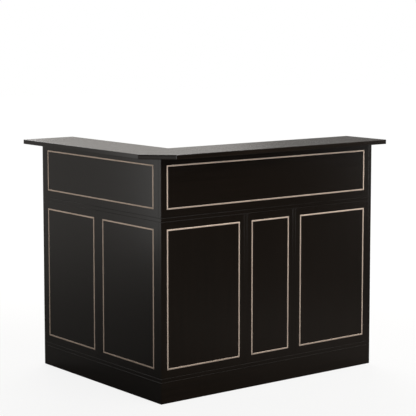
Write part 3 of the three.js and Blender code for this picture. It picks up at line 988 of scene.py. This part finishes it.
class CORNERBAR_OT_drawer(bpy.types.Operator):
    """Drawer front and box"""

    bl_idname = "corner_bar.drawer"
    bl_label = "Drawer"

    def execute(self, context):
        eased_board("drawer_front", sizes().front_easing)
        for node in DRAWER_BOX:
            eased_board(node, sizes().thin_easing, "foil_wrapped_drawer_board")
        return {"FINISHED"}


class CORNERBAR_OT_doors(bpy.types.Operator):
    """Cupboard doors"""

    bl_idname = "corner_bar.doors"
    bl_label = "Doors"

    def execute(self, context):
        for side in SIDES:
            eased_board(f"door_{side}", sizes().front_easing)
        return {"FINISHED"}


class CORNERBAR_OT_stage(bpy.types.Operator):
    """Camera, floor, room and softboxes"""

    bl_idname = "corner_bar.stage"
    bl_label = "Stage"

    def execute(self, context):
        stage = context.scene.corner_bar_stage
        context.scene.view_settings.view_transform = "Standard"
        self.add_camera(context, stage)
        self.add_room(context, stage)
        self.add_floor(context, stage)
        for name, (place, size) in SOFTBOXES.items():
            watts = getattr(stage, f"{name}_power")
            self.add_softbox(context, f"softbox_{name}", place, size, watts)
        return {"FINISHED"}

    @staticmethod
    def add_camera(context, stage):
        """The camera at the photograph's viewpoint."""
        data = bpy.data.cameras.new("camera")
        data.lens = stage.camera_lens
        data.shift_y = stage.camera_shift
        camera = bpy.data.objects.new("camera", data)
        camera.location = stage.camera_place
        camera.rotation_euler = (math.pi / 2 - stage.camera_tilt, 0, stage.camera_heading - math.pi / 2)
        context.scene.collection.objects.link(camera)
        context.scene.camera = camera

    @staticmethod
    def lit_from(tree, place, way, span, level, both_ways=False):
        """A brightness that rises from none to a level over a span along a way, or along it both ways."""
        along = add_node(tree, "ShaderNodeVectorMath", {0: place, 1: way}, operation="DOT_PRODUCT")
        if both_ways:
            along = add_node(tree, "ShaderNodeMath", {0: along.outputs["Value"]}, operation="ABSOLUTE")
        return add_node(tree, "ShaderNodeMapRange", {
            "Value": along.outputs["Value"], **ramp(span, 0, level),
        }, interpolation_type="SMOOTHSTEP").outputs["Result"]

    @staticmethod
    def seen_in_gloss(tree, level):
        """The camera ray test, and the strength and colour that metal and gloss reflect of a level. The
        camera sees pure white."""
        path = add_node(tree, "ShaderNodeLightPath")
        sharp = add_node(tree, "ShaderNodeMath", {
            0: path.outputs["Is Glossy Ray"], 1: path.outputs["Is Transmission Ray"],
        })
        gleam = add_node(tree, "ShaderNodeMath", {0: sharp.outputs["Value"], 1: level}, operation="MULTIPLY")
        camera = path.outputs["Is Camera Ray"]
        tone = add_node(tree, "ShaderNodeMix", {
            "Factor": camera, 6: rgba(colours().backdrop), 7: (1, 1, 1, 1),
        }, data_type="RGBA")
        return camera, gleam.outputs["Value"], tone.outputs[2]

    def add_room(self, context, stage):
        """A room that the camera sees white all round. Metal and gloss see its backdrop behind the unit,
        dimmer at its two wings, a bright place overhead on the right, and elsewhere the unlit room."""
        world = bpy.data.worlds.new("studio_room")
        context.scene.world = world
        world.use_nodes = True
        tree = world.node_tree
        way = add_node(tree, "ShaderNodeTexCoord").outputs["Generated"]
        wings = self.lit_from(tree, way, BACKDROP_WAY, WINGS_SPAN, stage.wing_level)
        rest = stage.backdrop_level - stage.room_level - stage.wing_level
        middle = self.lit_from(tree, way, BACKDROP_WAY, MIDDLE_SPAN, rest)
        overhead = self.lit_from(tree, way, OVERHEAD_WAY, OVERHEAD_SPAN, stage.overhead_gleam)
        backdrop = add_node(tree, "ShaderNodeMath", {0: wings, 1: middle})
        lit = add_node(tree, "ShaderNodeMath", {0: backdrop.outputs["Value"], 1: overhead})
        camera, gleam, tone = self.seen_in_gloss(tree, lit.outputs["Value"])
        level = add_node(tree, "ShaderNodeMath", {0: gleam, 1: stage.room_level})
        strength = add_node(tree, "ShaderNodeMix", {"Factor": camera, 2: level.outputs["Value"], 3: 1})
        background = tree.nodes["Background"]
        tree.links.new(tone, background.inputs["Color"])
        tree.links.new(strength.outputs[0], background.inputs["Strength"])

    def add_floor(self, context, stage):
        """A floor that keeps the unit's shadow. The camera sees it pale near the unit and white far off.
        Metal and gloss see it glow with painted light: dim beside the unit as painted shade, brighter far off
        and on both sides, with a painted pool of light in front of the long face.
        """
        bm = bmesh.new()
        bmesh.ops.create_grid(bm, x_segments=1, y_segments=1, size=FLOOR_REACH)
        mesh = bpy.data.meshes.new("floor")
        bm.to_mesh(mesh)
        bm.free()
        floor = bpy.data.objects.new("floor", mesh)
        context.scene.collection.objects.link(floor)
        material, tree, shader, place = new_finish("pale_studio_floor")
        shader.inputs["Roughness"].default_value = FLOOR_ROUGHNESS
        shader.inputs["Specular IOR Level"].default_value = 0
        shader.inputs["Base Color"].default_value = rgba(colours().floor)
        # Painted light on the floor, seen only in what metal and gloss reflect: it glows brighter far behind
        # the unit and far off on both sides.
        far_floor = self.lit_from(tree, place, BACKDROP_WAY, FAR_FLOOR_SPAN, stage.floor_gleam)
        sides = self.lit_from(tree, place, SIDE_WAY, SIDE_FLOOR_SPAN, stage.side_gleam, both_ways=True)
        distance = add_node(tree, "ShaderNodeVectorMath", {0: place}, operation="LENGTH").outputs["Value"]
        # Beside the unit the floor glows only faintly. Against the painted light further off, this is painted
        # shade in what metal and gloss reflect.
        beside = add_node(tree, "ShaderNodeMapRange", {
            "Value": distance, **ramp(NEAR_FLOOR_SPAN, stage.near_gleam, 0),
        }, interpolation_type="SMOOTHSTEP")
        # A painted pool of light on the floor in front of the long face, seen only in what metal and gloss
        # reflect.
        from_front = add_node(tree, "ShaderNodeVectorMath", {0: place, 1: FRONT_FLOOR}, operation="DISTANCE")
        painted_front_pool = add_node(tree, "ShaderNodeMapRange", {
            "Value": from_front.outputs["Value"], **ramp(FRONT_FLOOR_SPAN, stage.front_painted_pool, 0),
        }, interpolation_type="SMOOTHSTEP")
        near = add_node(tree, "ShaderNodeMath", {0: beside.outputs["Result"], 1: painted_front_pool.outputs["Result"]})
        further = add_node(tree, "ShaderNodeMath", {0: far_floor, 1: sides}, operation="MAXIMUM")
        all_round = add_node(tree, "ShaderNodeMath", {0: further.outputs["Value"], 1: near.outputs["Value"]})
        camera, gleam, tone = self.seen_in_gloss(tree, all_round.outputs["Value"])
        white = add_node(tree, "ShaderNodeMapRange", {
            "Value": distance, **ramp(WHITE_FLOOR_SPAN, stage.floor_glow, 1),
        }, interpolation_type="SMOOTHSTEP")
        strength = add_node(tree, "ShaderNodeMath", {
            0: camera, 1: white.outputs["Result"], 2: gleam,
        }, operation="MULTIPLY_ADD")
        glow = add_node(tree, "ShaderNodeEmission", {
            "Color": tone, "Strength": strength.outputs["Value"],
        })
        both = add_node(tree, "ShaderNodeAddShader", {0: shader.outputs["BSDF"], 1: glow.outputs["Emission"]})
        tree.links.new(both.outputs["Shader"], tree.nodes["Material Output"].inputs["Surface"])
        mesh.materials.append(material)

    @staticmethod
    def add_softbox(context, name, place, size, watts):
        """A softbox that faces the middle of the unit."""
        data = bpy.data.lights.new(name, "AREA")
        data.shape = "RECTANGLE"
        data.size, data.size_y = size
        data.energy = watts
        lamp = bpy.data.objects.new(name, data)
        lamp.location = place
        middle = (cad_bounds[0] + cad_bounds[1]) / 2
        lamp.rotation_euler = (middle - Vector(place)).to_track_quat("-Z", "Y").to_euler()
        lamp.visible_camera = False
        context.scene.collection.objects.link(lamp)


class CORNERBAR_PT_panel(bpy.types.Panel):
    """Builds the unit's pieces one group at a time"""

    bl_idname = "CORNERBAR_PT_panel"
    bl_label = "Corner Bar"
    bl_space_type = "VIEW_3D"
    bl_region_type = "UI"
    bl_category = "Corner Bar"

    def draw(self, context):
        column = self.layout.column()
        for operator in OPERATORS:
            column.operator(operator.bl_idname)
        for group in (getattr(context.scene, name) for name in GROUPS):
            for name in group.bl_rna.properties.keys():
                if name not in ("name", "rna_type"):
                    column.prop(group, name)


OPERATORS = (
    CORNERBAR_OT_stage,
    CORNERBAR_OT_boards,
    CORNERBAR_OT_panels,
    CORNERBAR_OT_strips,
    CORNERBAR_OT_bar_top,
    CORNERBAR_OT_mitre_plate,
    CORNERBAR_OT_drawer,
    CORNERBAR_OT_runners,
    CORNERBAR_OT_doors,
    CORNERBAR_OT_hinges,
    CORNERBAR_OT_pulls,
)
GROUPS = {
    "corner_bar_sizes": CornerBarSizes,
    "corner_bar_colours": CornerBarColours,
    "corner_bar_stage": CornerBarStage,
}


def register():
    """Registers the properties, the operators and the panel."""
    for name, group in GROUPS.items():
        bpy.utils.register_class(group)
        setattr(bpy.types.Scene, name, PointerProperty(type=group))
    for operator in OPERATORS:
        bpy.utils.register_class(operator)
    bpy.utils.register_class(CORNERBAR_PT_panel)


def unregister():
    """Takes back what register adds."""
    bpy.utils.unregister_class(CORNERBAR_PT_panel)
    for operator in reversed(OPERATORS):
        bpy.utils.unregister_class(operator)
    for name, group in GROUPS.items():
        delattr(bpy.types.Scene, name)
        bpy.utils.unregister_class(group)


def main():
    """Builds the stage and all pieces."""
    register()
    bpy.ops.corner_bar.stage()
    bpy.ops.corner_bar.boards()
    bpy.ops.corner_bar.panels()
    bpy.ops.corner_bar.strips()
    bpy.ops.corner_bar.bar_top()
    bpy.ops.corner_bar.mitre_plate()
    bpy.ops.corner_bar.drawer()
    bpy.ops.corner_bar.runners()
    bpy.ops.corner_bar.doors()
    bpy.ops.corner_bar.hinges()
    bpy.ops.corner_bar.pulls()
    bpy.context.view_layer.update()


if __name__ == "__main__":
    main()
